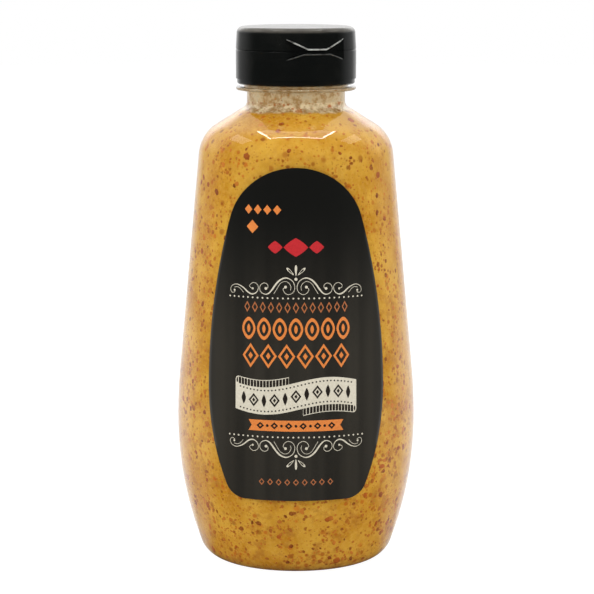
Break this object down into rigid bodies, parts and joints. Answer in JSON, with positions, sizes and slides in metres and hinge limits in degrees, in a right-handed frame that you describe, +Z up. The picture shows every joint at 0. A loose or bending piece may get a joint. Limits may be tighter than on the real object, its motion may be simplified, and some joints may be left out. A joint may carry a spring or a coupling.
{
  "type": "mustard squeeze bottle",
  "caption": "Round clear squeeze bottle of whole-grain mustard, with dark arch-shaped labels and a black cap whose flip-top lid swings on a hinge.",
  "frame": {"origin": "centre of the foot, where the bottle's axis meets the surface it stands on", "axes": "+Z up along the bottle's axis, -Y out of the front label, +X to the right of the front label"},
  "size_m": [0.0664, 0.0666, 0.1486],
  "materials": {
    "clear_plastic": "clear, glossy, blow-moulded",
    "mustard": "wet whole-grain mustard with brown seed hulls",
    "label": "printed film, satin",
    "cap_plastic": "black moulded plastic, satin gloss"
  },
  "bodies": {
    "container": {"bottle": "clear_plastic", "bottle_neck": "clear_plastic", "mustard": "mustard", "front_label": "label", "back_label": "label", "cap_base": "cap_plastic"},
    "lid": {"cap_lid": "cap_plastic"}
  },
  "joints": [
    {"name": "lid_hinge", "type": "hinge", "parent": "container", "child": "lid", "pos_m": [-0.00634, 0.01652, 0.1424], "axis": [-0.9336, -0.3584, 0], "range_deg": [0, 130]}
  ]
}
